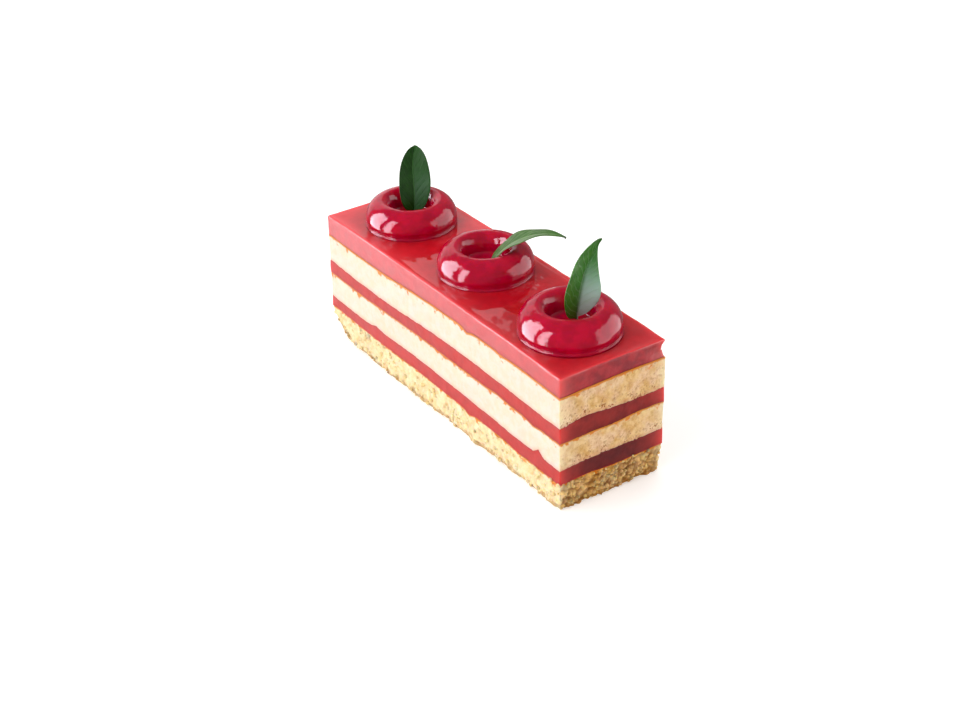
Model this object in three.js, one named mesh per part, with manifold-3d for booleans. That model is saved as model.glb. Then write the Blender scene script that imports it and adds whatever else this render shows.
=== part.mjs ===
// A rectangular loaf of three sponge sheets and three fruit-jelly layers, with three glazed jelly rings
// and a green leaf standing in each ring.
// Millimetres, +Z up. The loaf lies along X, its front long side faces -Y, and the origin is the middle
// of its underside.

import * as THREE from 'three';
import { mergeVertices } from 'three/addons/utils/BufferGeometryUtils.js';
import Module from 'manifold-3d';

// ---------------------------------------------------------------- driving dimensions

const loafLength = 141;
const loafWidth = 40.7;
const leftLean = 1;              // how far the left end stands in at the top
const layerGap = 0.3;            // air left between pieces that touch

// Heights of the cuts between the layers, from the underside up.
const lowerSpongeTop = 11;
const lowerJellyTop = 16.75;
const middleSpongeTop = 26.4;
const middleJellyTop = 31.75;
const upperSpongeTop = 42.5;
const loafTop = 49.5;

// How far each cut wanders from its height, once round the loaf: eight stations along the front, three
// inside the right end, eight back along the rear and three inside the left end.
const lowerSpongeWander = [
  1.1, 0.9, 0.8, 1.2, 0.8, 0.6, 0, -0.5, 0.1, -0.6, -0.5,
  -0.4, 0.1, 0.7, 0.9, 0.5, 0.8, 1.1, 0.6, 0.4, 0.7, 0.9,
];
const lowerJellyWander = [
  -0.4, -0.7, 0.1, 0.5, 0.1, -0.3, -0.9, -0.9, -0.4, -0.3, -0.5,
  -0.4, 0.2, 0.5, 0.1, -0.4, -0.6, 0, 0.3, 0.2, -0.1, -0.3,
];
const middleSpongeWander = [
  -0.2, -0.5, 0, 0.4, 0.2, 0.3, -0.1, -0.6, -0.4, -0.6, 0.1,
  0, -0.4, 0.2, 0.5, 0.3, -0.2, -0.5, 0, 0.3, 0.1, -0.2,
];
const middleJellyWander = [
  -0.6, -1.2, -1.2, -0.1, 0.6, 0.4, -0.1, -0.4, 0.9, 0, -0.2,
  0, 0.3, 0.6, 0.2, -0.5, -0.8, -0.4, 0.1, 0.1, -0.2, -0.5,
];
const upperSpongeWander = [
  -1.1, -1.3, -1.1, 0, 0.5, 0.5, 0.3, -0.4, -0.1, 0.2, 0.2,
  0.1, 0.3, 0.5, -0.2, -0.6, -0.3, 0.2, -0.2, -0.5, -0.9, -1,
];
const loafTopWander = [
  -0.5, 0, 0.1, 0.2, 0.2, 0.1, 0, -0.6, -0.3, -0.2, -0.3,
  -0.4, 0, 0.1, 0.2, 0.2, 0.1, 0, -0.4, -0.3, -0.2, -0.4,
];

// Short dips and bumps of the front cuts, where jelly ran into a hollow of the sponge.
const lowerSpongeMarks = [{ x: 19.8, reach: 2.4, rise: -1.3 }, { x: 48, reach: 2.6, rise: -0.6 }];
const lowerJellyMarks = [{ x: -38.8, reach: 2.2, rise: 0.9 }, { x: 59.2, reach: 2, rise: 2.2 }];
const middleSpongeMarks = [{ x: 56.4, reach: 3, rise: -0.7 }, { x: 36.8, reach: 3, rise: 0.5 }];
const upperSpongeMarks = [{ x: 19.8, reach: 2.4, rise: -1.3 }, { x: 39.6, reach: 3, rise: -0.5 }];

// Outline of a layer: steps along each side, and the hubs that its flat faces are drawn from.
const lengthSteps = 50;
const widthSteps = 15;
const hubPositions = [-50, -30, -10, 10, 30, 50];

// Relief of the cut faces, out of the flat side.
const cutRelief = 0.12;
const jellyRelief = 0.1;
const spongeRelief = 0.22;
const lowerSpongeRelief = 0.7;
const lowerSpongeInset = 0.6;    // crags of the lowest sheet stand back, as crumbs have come off it
const undersideInset = 0.9;      // and those at the very bottom stand back further
const crumbSize = 3.1;           // spacing of the crags along and up a face
const cutSeed = 40;              // starts of the repeatable noise, for the cuts and for the faces
const faceSeed = 11;

// Heights of the rows of points up a face, as shares of its layer, and how far up the lowest sheet is
// fully craggy.
const lowerSpongeShares = [0, 0.1, 0.3, 0.52, 0.76, 1];
const craggyShare = 0.36;
const topJellyShares = [0, 0.35, 0.68];
const spongeBands = 3;
const jellyBands = 2;

// Corners that came away: a chip low on the left front corner, and a hollow in the rear right edge of
// the top jelly. Each is deepest at one height and fades out over the height stated.
const cornerChip = { x: -70.5, y: -20.35, reach: 7, depth: 3.2, deepest: 0, fade: 11 };
const jellyHollow = { x: 70.5, y: 20.35, reach: 4.5, depth: 1.8, deepest: 45.8, fade: 2.6 };

// Rounding of the top jelly's edge.
const arrisDrop = 0.5;
const arrisInset = 0.45;
const arrisSteps = 2;

// Glazed rings, moulded alike; each is a little larger or smaller with its glaze.
const ringFoot = 16;             // radius where a ring meets the jelly
const ringBulge = 16.3;          // widest radius
const bulgeHeight = 1.7;
const ringCrown = 10.5;          // radius of the highest line
const ringHeight = 8.5;
const wellRadius = 6.8;            // the well in the middle
const wellWaist = 2.8;
const wellFloorRadius = 4.6;
const wellFloor = 1.8;
const ringSides = 44;
const turnSteps = { foot: 2, outside: 6, inside: 5, floor: 2 };
const rings = [
  { name: 'left', x: -46.2, y: 0.8, size: 0.985 },
  { name: 'middle', x: -0.5, y: 1.4, size: 1 },
  { name: 'right', x: 48.9, y: -0.4, size: 1.02 },
];

// Leaves. The four rib points shape the midrib, from the middle of the ring's underside; across points
// to the right margin, so that the upper side looks along across x rib. Each margin has the shape
// share ^ shoulder * (1 - share) ^ taper, and its greatest width is halfWidth.
const leafThickness = 0.5;
const stalkShare = 0.06;         // bare part of the rib at its foot
const stalkHalfWidth = 0.5;
const tipShare = 0.4;            // half width of the tip, as a share of the stalk's
const leafRows = 18;
const leafColumns = 6;
const ripplePhase = 1.9;         // how far the right margin's ripple runs ahead of the left's
const socketRadius = 1.15;       // the hole in the well's floor that a stalk stands in
const socketLength = 3.9;
const socketSides = 10;
const mergeTolerance = 1e-4;
const leaves = {
  left: {
    rib: [[-1.3, 1.1, 0.6], [-0.87, 3.48, 9.05], [-6.71, 3.76, 15.94], [-12.31, 10.12, 21.23]],
    across: [0.407, 0.914, 0],
    leftMargin: { halfWidth: 5.75, shoulder: 0.4, taper: 0.66 },
    rightMargin: { halfWidth: 6.4, shoulder: 0.5, taper: 0.52 },
    fold: 0.4, ripple: 0.3, waves: 2.2,
  },
  middle: {
    rib: [[2.3, -0.8, 0.9], [4.6, 2.3, 10.2], [13.4, 10.6, 17.6], [20.6, 18.1, 14.2]],
    across: [0.83, -0.54, 0.14],
    leftMargin: { halfWidth: 4.9, shoulder: 0.7, taper: 1 },
    rightMargin: { halfWidth: 5, shoulder: 0.7, taper: 1 },
    fold: 0.16, ripple: 0.3, waves: 2.6,
  },
  right: {
    rib: [[-1.2, 3.4, 0.7], [0.1, 2.2, 12.44], [-0.1, 5.42, 21.28], [0.96, 11.04, 28.41]],
    across: [0.29, 0.957, 0],
    leftMargin: { halfWidth: 6.5, shoulder: 0.35, taper: 0.6 },
    rightMargin: { halfWidth: 6.6, shoulder: 0.75, taper: 1.65 },
    fold: 0.47, ripple: 0.35, waves: 2.4,
  },
};

// ---------------------------------------------------------------- materials

function coloured(colour, roughness) {
  return new THREE.MeshStandardMaterial({ color: colour, roughness, metalness: 0 });
}

const spongeMaterial = coloured('#efdcae', 0.95);
const lowerSpongeMaterial = coloured('#e6cf92', 0.95);
const jellyMaterial = coloured('#b8384a', 0.35);
const topJellyMaterial = coloured('#c22335', 0.15);
const ringMaterial = coloured('#a3142a', 0.08);
const leafMaterial = coloured('#2f5a2c', 0.4);

// ---------------------------------------------------------------- small helpers

// A repeatable value from -1 to 1 for a point of a whole-number lattice.
function latticeValue(column, row, seed) {
  let bits = Math.imul(column + 374761, 668265263) ^ Math.imul(row + 15731, 789221);
  bits = Math.imul(bits ^ (seed * 40503 + 1376312), 1274126177);
  bits ^= bits >>> 15;
  bits = Math.imul(bits, 2246822519);
  bits ^= bits >>> 13;
  return (bits >>> 0) / 2147483647.5 - 1;
}

function ease(t) {
  return t * t * (3 - 2 * t);
}

// Smooth noise from -1 to 1 over a face, along it and up it.
function crags(along, up, seed) {
  const column = Math.floor(along);
  const row = Math.floor(up);
  const across = ease(along - column);
  const rise = ease(up - row);
  const low = THREE.MathUtils.lerp(
    latticeValue(column, row, seed), latticeValue(column + 1, row, seed), across);
  const high = THREE.MathUtils.lerp(
    latticeValue(column, row + 1, seed), latticeValue(column + 1, row + 1, seed), across);
  return THREE.MathUtils.lerp(low, high, rise);
}

// A mesh from points and triangles, each triangle three places in the list of points.
function solidFrom(points, triangles) {
  const geometry = new THREE.BufferGeometry();
  geometry.setAttribute('position', new THREE.Float32BufferAttribute(points.flat(), 3));
  geometry.setIndex(triangles.flat());
  geometry.computeVertexNormals();
  return geometry;
}

function named(name, geometry, material) {
  const mesh = new THREE.Mesh(geometry, material);
  mesh.name = name;
  return mesh;
}

// ---------------------------------------------------------------- outline and cuts of the loaf

// The sides in order round the loaf, seen from above: front, right end, rear, left end.
const sideLengths = [loafLength, loafWidth, loafLength, loafWidth];
const sideSteps = [lengthSteps, widthSteps, lengthSteps, widthSteps];
const sideStations = [7, 4, 7, 4];   // gaps between the wander's stations on each side
const corners = [
  [-loafLength / 2, -loafWidth / 2],
  [loafLength / 2, -loafWidth / 2],
  [loafLength / 2, loafWidth / 2],
  [-loafLength / 2, loafWidth / 2],
];
const outwards = [[0, -1], [1, 0], [0, 1], [-1, 0]];

// Points round the loaf with the way out of it, the way travelled and the station reached.
function outlinePoints() {
  const points = [];
  let travelled = 0;
  let station = 0;
  for (let side = 0; side < 4; side += 1) {
    const start = corners[side];
    const end = corners[(side + 1) % 4];
    for (let step = 0; step < sideSteps[side]; step += 1) {
      const share = step / sideSteps[side];
      const before = step === 0 ? outwards[(side + 3) % 4] : [0, 0];
      points.push({
        x: THREE.MathUtils.lerp(start[0], end[0], share),
        y: THREE.MathUtils.lerp(start[1], end[1], share),
        out: [outwards[side][0] + before[0], outwards[side][1] + before[1]],
        travelled: travelled + share * sideLengths[side],
        station: station + share * sideStations[side],
      });
    }
    travelled += sideLengths[side];
    station += sideStations[side];
  }
  return points;
}

const outline = outlinePoints();

// The wander at a station, on a smooth closed curve through the listed values.
function wanderAt(wander, station) {
  const count = wander.length;
  const first = Math.floor(station) % count;
  const share = station - Math.floor(station);
  const value = (offset) => wander[(first + offset + count) % count];
  const tangentIn = (value(1) - value(-1)) / 2;
  const tangentOut = (value(2) - value(0)) / 2;
  const cubed = share ** 3;
  const squared = share ** 2;
  return (2 * cubed - 3 * squared + 1) * value(0) + (cubed - 2 * squared + share) * tangentIn
    + (3 * squared - 2 * cubed) * value(1) + (cubed - squared) * tangentOut;
}

function cut(height, wander = null, marks = [], seed = 0) {
  return { height, wander, marks, seed };
}

const underside = cut(0);
const lowerSpongeCut = cut(lowerSpongeTop, lowerSpongeWander, lowerSpongeMarks, 1);
const lowerJellyCut = cut(lowerJellyTop, lowerJellyWander, lowerJellyMarks, 2);
const middleSpongeCut = cut(middleSpongeTop, middleSpongeWander, middleSpongeMarks, 3);
const middleJellyCut = cut(middleJellyTop, middleJellyWander, [], 4);
const upperSpongeCut = cut(upperSpongeTop, upperSpongeWander, upperSpongeMarks, 5);
const topCut = cut(loafTop, loafTopWander, [], 6);

// Height of a cut at one point of the outline.
function cutHeight(level, point) {
  if (!level.wander) {
    return level.height;
  }
  let rise = wanderAt(level.wander, point.station);
  if (point.y === -loafWidth / 2) {
    for (const mark of level.marks) {
      rise += mark.rise * Math.exp(-(((point.x - mark.x) / mark.reach) ** 2));
    }
  }
  return level.height + rise;
}

// Height of a cut at a hub in the middle of the loaf, between the front and the rear.
function hubHeight(level, x) {
  if (!level.wander) {
    return level.height;
  }
  const share = x / loafLength + 0.5;
  const front = wanderAt(level.wander, share * sideStations[0]);
  const rearStart = sideStations[0] + sideStations[1];
  const rear = wanderAt(level.wander, rearStart + (1 - share) * sideStations[2]);
  return level.height + (front + rear) / 2;
}

// How far a broken corner takes a point in.
function brokenAway(place, point, height) {
  const share = 1 - Math.abs(height - place.deepest) / place.fade;
  if (share <= 0) {
    return 0;
  }
  const distance = Math.hypot(point.x - place.x, point.y - place.y);
  return place.depth * Math.exp(-((distance / place.reach) ** 2)) * ease(share);
}

// A point of a side face, moved out of the flat by relief and in by inset.
function sidePoint(point, height, relief, inset) {
  const broken = brokenAway(cornerChip, point, height) + brokenAway(jellyHollow, point, height);
  const corner = Math.hypot(...point.out);
  const move = relief - inset - broken / corner;
  const lean = leftLean * (height / loafTop) * (0.5 - point.x / loafLength);
  return [point.x + point.out[0] * move + lean, point.y + point.out[1] * move, height];
}

// ---------------------------------------------------------------- layers

// One layer from its lower to its upper cut. Rows are the rings of points between them: share is the
// height between the cuts, and drop, inset and relief shape the face there.
function layerGeometry(lower, upper, rows, seed) {
  const points = [];
  const triangles = [];
  const count = outline.length;

  rows.forEach((row) => {
    for (const point of outline) {
      const bottom = cutHeight(lower, point) + (lower.wander ? layerGap / 2 : 0);
      const top = cutHeight(upper, point) - (upper === topCut ? 0 : layerGap / 2);
      const height = THREE.MathUtils.lerp(bottom, top, row.share) - (row.drop ?? 0);
      const level = row.share === 0 ? lower : upper;
      const onCut = row.share === 0 || row.share === 1;
      const noiseSeed = onCut ? level.seed + cutSeed : seed;
      const noise = crags(point.travelled / crumbSize, height / crumbSize, noiseSeed);
      points.push(sidePoint(point, height, row.relief * noise, row.inset ?? 0));
    }
  });

  for (let row = 0; row + 1 < rows.length; row += 1) {
    for (let step = 0; step < count; step += 1) {
      const here = row * count + step;
      const next = row * count + ((step + 1) % count);
      triangles.push([here, next, next + count], [here, next + count, here + count]);
    }
  }
  closeFace(points, triangles, 0, lower, layerGap / 2, true);
  closeFace(points, triangles, (rows.length - 1) * count, upper, -layerGap / 2, false);
  return solidFrom(points, triangles);
}

// Closes a layer with a fan round each hub, from the outline to the middle of the face.
function closeFace(points, triangles, firstPoint, level, gap, facesDown) {
  const count = outline.length;
  const firstHub = points.length;
  const shift = level.wander && level !== topCut ? gap : 0;
  hubPositions.forEach((x) => points.push([x, 0, hubHeight(level, x) + shift]));

  const nearest = outline.map((point) => {
    const distances = hubPositions.map((x) => Math.abs(point.x - x));
    return distances.indexOf(Math.min(...distances));
  });
  const add = (a, b, c) => triangles.push(facesDown ? [a, c, b] : [a, b, c]);
  for (let step = 0; step < count; step += 1) {
    const next = (step + 1) % count;
    add(firstPoint + step, firstPoint + next, firstHub + nearest[step]);
    if (nearest[step] !== nearest[next]) {
      add(firstHub + nearest[step], firstPoint + next, firstHub + nearest[next]);
    }
  }
}

function evenRows(bands, relief) {
  const rows = [];
  for (let band = 0; band <= bands; band += 1) {
    const share = band / bands;
    const onCut = band === 0 || band === bands;
    rows.push({ share, relief: onCut ? cutRelief : relief });
  }
  return rows;
}

function lowerSpongeRows() {
  return lowerSpongeShares.map((share) => {
    const craggy = Math.min(1, (1 - share) / (1 - craggyShare));
    const inset = share === 0 ? undersideInset : lowerSpongeInset * craggy;
    return { share, inset, relief: Math.max(cutRelief, lowerSpongeRelief * craggy) };
  });
}

function topJellyRows() {
  const rows = topJellyShares.map((share) => ({ share, relief: share === 0 ? cutRelief : jellyRelief }));
  for (let step = 0; step <= arrisSteps; step += 1) {
    const angle = (step / arrisSteps) * Math.PI / 2;
    const drop = arrisDrop * (1 - Math.sin(angle));
    const inset = arrisInset * (1 - Math.cos(angle));
    rows.push({ share: 1, relief: cutRelief, drop, inset });
  }
  return rows;
}

const loaf = new THREE.Group();
const layers = [
  ['sponge_lower', underside, lowerSpongeCut, lowerSpongeRows(), lowerSpongeMaterial],
  ['jelly_lower', lowerSpongeCut, lowerJellyCut, evenRows(jellyBands, jellyRelief), jellyMaterial],
  ['sponge_middle', lowerJellyCut, middleSpongeCut, evenRows(spongeBands, spongeRelief), spongeMaterial],
  ['jelly_middle', middleSpongeCut, middleJellyCut, evenRows(jellyBands, jellyRelief), jellyMaterial],
  ['sponge_upper', middleJellyCut, upperSpongeCut, evenRows(spongeBands, spongeRelief), spongeMaterial],
  ['jelly_top', upperSpongeCut, topCut, topJellyRows(), topJellyMaterial],
];
layers.forEach(([name, lower, upper, rows, material], index) => {
  loaf.add(named(name, layerGeometry(lower, upper, rows, index + faceSeed), material));
});

// ---------------------------------------------------------------- rings

// Points of a quarter ellipse from one place to the other; steep leaves the first place upright.
function quarterTurn(from, to, steps, steep) {
  const points = [];
  for (let step = 1; step <= steps; step += 1) {
    const angle = (step / steps) * Math.PI / 2;
    const radiusShare = steep ? 1 - Math.cos(angle) : Math.sin(angle);
    const heightShare = steep ? Math.sin(angle) : 1 - Math.cos(angle);
    points.push([
      THREE.MathUtils.lerp(from[0], to[0], radiusShare),
      THREE.MathUtils.lerp(from[1], to[1], heightShare),
    ]);
  }
  return points;
}

// Half section of a ring, from the middle of its underside round to the middle of the well's floor.
function ringSection() {
  const foot = [ringFoot, 0];
  const bulge = [ringBulge, bulgeHeight];
  const crown = [ringCrown, ringHeight];
  const waist = [wellRadius, wellWaist];
  const floor = [wellFloorRadius, wellFloor];
  return [
    [0, 0],
    foot,
    ...quarterTurn(foot, bulge, turnSteps.foot, false),
    ...quarterTurn(bulge, crown, turnSteps.outside, true),
    ...quarterTurn(crown, waist, turnSteps.inside, false),
    ...quarterTurn(waist, floor, turnSteps.floor, true),
    [0, wellFloor],
  ];
}

function bezierOf(points) {
  return new THREE.CubicBezierCurve3(...points.map((point) => new THREE.Vector3(...point)));
}

const wasm = await Module();
wasm.setup();

// A solid of a closed geometry, without the triangles that shrink to a line at its poles.
function toSolid(geometry) {
  const bare = geometry.clone();
  bare.deleteAttribute('normal');
  bare.deleteAttribute('uv');
  const merged = mergeVertices(bare, mergeTolerance);
  const indices = merged.index.array;
  const kept = [];
  for (let at = 0; at < indices.length; at += 3) {
    const [a, b, c] = indices.slice(at, at + 3);
    if (a !== b && b !== c && c !== a) {
      kept.push(a, b, c);
    }
  }
  return new wasm.Manifold(new wasm.Mesh({
    numProp: 3,
    vertProperties: Float32Array.from(merged.attributes.position.array),
    triVerts: Uint32Array.from(kept),
  }));
}

function fromSolid(solid) {
  const mesh = solid.getMesh();
  const geometry = new THREE.BufferGeometry();
  geometry.setAttribute('position', new THREE.BufferAttribute(mesh.vertProperties, 3));
  geometry.setIndex(new THREE.BufferAttribute(mesh.triVerts, 1));
  geometry.computeVertexNormals();
  return geometry;
}

// A ring with the slanting socket in its well that the leaf's stalk stands in.
function ringGeometry(size, leaf) {
  const section = ringSection().map(([radius, height]) => new THREE.Vector2(radius * size, height * size));
  const body = new THREE.LatheGeometry(section, ringSides);
  body.rotateX(Math.PI / 2);

  const rib = bezierOf(leaf.rib);
  const foot = rib.getPoint(0);
  const direction = rib.getTangent(0);
  const socket = new THREE.CylinderGeometry(socketRadius, socketRadius, socketLength, socketSides);
  socket.rotateX(Math.PI / 2);
  const turn = new THREE.Quaternion().setFromUnitVectors(new THREE.Vector3(0, 0, 1), direction);
  socket.applyQuaternion(turn);
  const middle = foot.clone().addScaledVector(direction, socketLength / 2 - layerGap);
  socket.translate(middle.x, middle.y, middle.z);
  return fromSolid(toSolid(body).subtract(toSolid(socket)));
}

// ---------------------------------------------------------------- leaves

// Half width of a blade on one margin, at a share of its rib.
function bladeHalfWidth(margin, share) {
  const blade = (share - stalkShare) / (1 - stalkShare);
  if (blade <= 0) {
    return stalkHalfWidth;
  }
  const widest = margin.shoulder / (margin.shoulder + margin.taper);
  const full = widest ** margin.shoulder * (1 - widest) ** margin.taper;
  const width = blade ** margin.shoulder * (1 - blade) ** margin.taper / full;
  const least = stalkHalfWidth * THREE.MathUtils.lerp(1, tipShare, blade);
  return Math.max(margin.halfWidth * width, least);
}

// A thin folded blade: the same grid of points on its upper and its under side.
function leafGeometry(leaf) {
  const rib = bezierOf(leaf.rib);
  const across = new THREE.Vector3(...leaf.across).normalize();
  const points = [];
  const triangles = [];
  const rowLength = leafColumns + 1;
  const sideLength = (leafRows + 1) * rowLength;

  for (const face of [1, -1]) {
    for (let row = 0; row <= leafRows; row += 1) {
      const share = row / leafRows;
      const place = rib.getPoint(share);
      const along = rib.getTangent(share);
      const sideways = across.clone().addScaledVector(along, -across.dot(along)).normalize();
      const upper = new THREE.Vector3().crossVectors(sideways, along);
      for (let column = 0; column <= leafColumns; column += 1) {
        const side = (column / leafColumns) * 2 - 1;
        const fromRib = Math.abs(side);
        const margin = side < 0 ? leaf.leftMargin : leaf.rightMargin;
        const half = bladeHalfWidth(margin, share);
        const wave = Math.sin(share * leaf.waves * Math.PI * 2 + (side < 0 ? 0 : ripplePhase));
        const lift = half * fromRib * Math.sin(leaf.fold)
          + leaf.ripple * wave * fromRib ** 2 * (half / margin.halfWidth)
          + (face * leafThickness) / 2;
        const point = place.clone()
          .addScaledVector(sideways, half * side * Math.cos(leaf.fold))
          .addScaledVector(upper, lift);
        points.push(point.toArray());
      }
    }
  }

  for (let row = 0; row < leafRows; row += 1) {
    for (let column = 0; column < leafColumns; column += 1) {
      const a = row * rowLength + column;
      const b = a + 1;
      const c = b + rowLength;
      const d = a + rowLength;
      triangles.push([a, b, c], [a, c, d]);
      triangles.push([a + sideLength, c + sideLength, b + sideLength]);
      triangles.push([a + sideLength, d + sideLength, c + sideLength]);
    }
  }
  const rim = [];
  for (let column = 0; column < leafColumns; column += 1) {
    rim.push(column);
  }
  for (let row = 0; row < leafRows; row += 1) {
    rim.push(row * rowLength + leafColumns);
  }
  for (let column = leafColumns; column > 0; column -= 1) {
    rim.push(leafRows * rowLength + column);
  }
  for (let row = leafRows; row > 0; row -= 1) {
    rim.push(row * rowLength);
  }
  rim.forEach((here, at) => {
    const next = rim[(at + 1) % rim.length];
    triangles.push([here, next + sideLength, next], [here, here + sideLength, next + sideLength]);
  });
  return solidFrom(points, triangles);
}

// Each ring stands on the loaf with its leaf, in a group of its own.
const ringSeat = loafTop + Math.max(...loafTopWander) + layerGap;
rings.forEach(({ name, x, y, size }) => {
  const place = new THREE.Group();
  place.position.set(x, y, ringSeat);
  place.add(named(`ring_${name}`, ringGeometry(size, leaves[name]), ringMaterial));
  place.add(named(`leaf_${name}`, leafGeometry(leaves[name]), leafMaterial));
  loaf.add(place);
});

// The middle of the whole is brought over the origin, which the uneven sides leave a little off it.
const middle = new THREE.Box3().setFromObject(loaf).getCenter(new THREE.Vector3());
loaf.position.set(-middle.x, -middle.y, 0);

export default loaf;
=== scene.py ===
import math
import random

import bmesh
import bpy
import numpy as np
from mathutils import Euler, Matrix, Vector, kdtree, noise
from mathutils.bvhtree import BVHTree


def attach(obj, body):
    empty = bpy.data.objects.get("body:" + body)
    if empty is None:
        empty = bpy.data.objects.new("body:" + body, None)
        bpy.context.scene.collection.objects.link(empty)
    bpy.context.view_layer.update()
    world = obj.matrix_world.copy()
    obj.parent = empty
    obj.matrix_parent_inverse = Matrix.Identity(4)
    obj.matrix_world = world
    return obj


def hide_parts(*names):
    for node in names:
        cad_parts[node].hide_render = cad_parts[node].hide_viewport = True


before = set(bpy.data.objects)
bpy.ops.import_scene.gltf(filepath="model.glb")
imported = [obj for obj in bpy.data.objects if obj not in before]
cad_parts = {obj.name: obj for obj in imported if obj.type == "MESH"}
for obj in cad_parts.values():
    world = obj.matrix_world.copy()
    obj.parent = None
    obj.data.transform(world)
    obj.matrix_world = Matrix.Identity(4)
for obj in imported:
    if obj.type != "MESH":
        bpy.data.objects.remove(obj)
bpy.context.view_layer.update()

mm = 0.001
random.seed(11)
noise.seed_set(11)       # noise_vector draws on it
print("frame loaded:", len(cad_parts), "parts of the cake")


# ---- small helpers, lengths in metres

def colour(hexCode):
    # a screen colour as the linear values that a socket takes
    parts = [int(hexCode[i:i + 2], 16) / 255 for i in (1, 3, 5)]
    return [p / 12.92 if p <= 0.04045 else ((p + 0.055) / 1.055) ** 2.4 for p in parts] + [1.0]


def ease(low, high, value):
    share = min(1.0, max(0.0, (value - low) / (high - low)))
    return share * share * (3 - 2 * share)


def finishPiece(name, bm, material, nodeNames=()):
    mesh = bpy.data.meshes.new(name)
    bm.to_mesh(mesh)
    bm.free()
    for polygon in mesh.polygons:
        polygon.use_smooth = True
    mesh.materials.append(material)
    piece = bpy.data.objects.new(name, mesh)
    bpy.context.scene.collection.objects.link(piece)
    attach(piece, "root")
    if nodeNames:
        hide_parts(*nodeNames)
    print(name, "made:", sum(len(p.vertices) - 2 for p in mesh.polygons), "triangles")
    return piece


# ---- materials

def newMaterial(name):
    material = bpy.data.materials.new(name)
    material.use_nodes = True
    tree = material.node_tree
    tree.nodes.clear()
    output = tree.nodes.new("ShaderNodeOutputMaterial")
    shader = tree.nodes.new("ShaderNodeBsdfPrincipled")
    tree.links.new(shader.outputs["BSDF"], output.inputs["Surface"])
    return material, tree, shader


def place(tree):
    return tree.nodes.new("ShaderNodeTexCoord").outputs["Object"]


def speckle(tree, size, low, high, detail=3.0, roughness=0.55):
    # soft noise with features of the given size, spread from 0 to 1 between low and high
    texture = tree.nodes.new("ShaderNodeTexNoise")
    texture.inputs["Scale"].default_value = 1 / size
    texture.inputs["Detail"].default_value = detail
    texture.inputs["Roughness"].default_value = roughness
    tree.links.new(place(tree), texture.inputs["Vector"])
    return spread(tree, texture.outputs["Fac"], low, high)


def spots(tree, size, low, high):
    # 1 at the middle of scattered cells, 0 outside them
    texture = tree.nodes.new("ShaderNodeTexVoronoi")
    texture.inputs["Scale"].default_value = 1 / size
    tree.links.new(place(tree), texture.inputs["Vector"])
    return spread(tree, texture.outputs["Distance"], high, low)


def spread(tree, value, low, high):
    node = tree.nodes.new("ShaderNodeMapRange")
    node.interpolation_type = "SMOOTHSTEP"
    node.inputs["From Min"].default_value = low
    node.inputs["From Max"].default_value = high
    tree.links.new(value, node.inputs["Value"])
    return node.outputs["Result"]


def calculate(tree, operation, first, second):
    node = tree.nodes.new("ShaderNodeMath")
    node.operation = operation
    for socket, value in zip(node.inputs, (first, second)):
        if isinstance(value, (int, float)):
            socket.default_value = value
        else:
            tree.links.new(value, socket)
    return node.outputs["Value"]


def attribute(tree, name):
    node = tree.nodes.new("ShaderNodeAttribute")
    node.attribute_name = name
    return node.outputs["Fac"]


def blendColours(tree, share, first, second):
    node = tree.nodes.new("ShaderNodeMix")
    node.data_type = "RGBA"
    tree.links.new(share, node.inputs["Factor"])
    for index, value in ((6, first), (7, second)):
        if isinstance(value, list):
            node.inputs[index].default_value = value
        else:
            tree.links.new(value, node.inputs[index])
    return node.outputs[2]


def bump(tree, height, depth, strength):
    node = tree.nodes.new("ShaderNodeBump")
    node.inputs["Strength"].default_value = strength
    node.inputs["Distance"].default_value = depth
    tree.links.new(height, node.inputs["Height"])
    return node.outputs["Normal"]


# painted light and shade: the end tones are a darker, shaded copy of the side tones, the tone at the ends'
# upright edges is painted light, and the pore, hollow and foot tones are painted shade
spongeFinish = {
    "fine": {"light": "#f9dccb", "dark": "#f5d4b8", "shadedEndLight": "#f0cc92", "shadedEndDark": "#d8a45e",
             "hollow": "#a05410", "patches": 0.3, "pores": 0.85, "sidePores": 0.0, "hollows": 0.6,
             "sideHollows": 0.05},
    "coarse": {"light": "#fbe6bc", "dark": "#f0d094", "shadedEndLight": "#eeb860", "shadedEndDark": "#9c6218",
               "hollow": "#7c4606", "patches": 0.2, "pores": 0.5, "sidePores": 0.05, "hollows": 0.75,
               "sideHollows": 0.15},
    "corner": "#fff0c4", "poreShade": "#a05410", "amber": "#e07c0c", "stain": "#f0a080", "footShade": "#94600e",
    "roughness": 0.82, "gloss": 0.3, "scatter": 0.6, "scatterDepth": 2.2 * mm,
}


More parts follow.
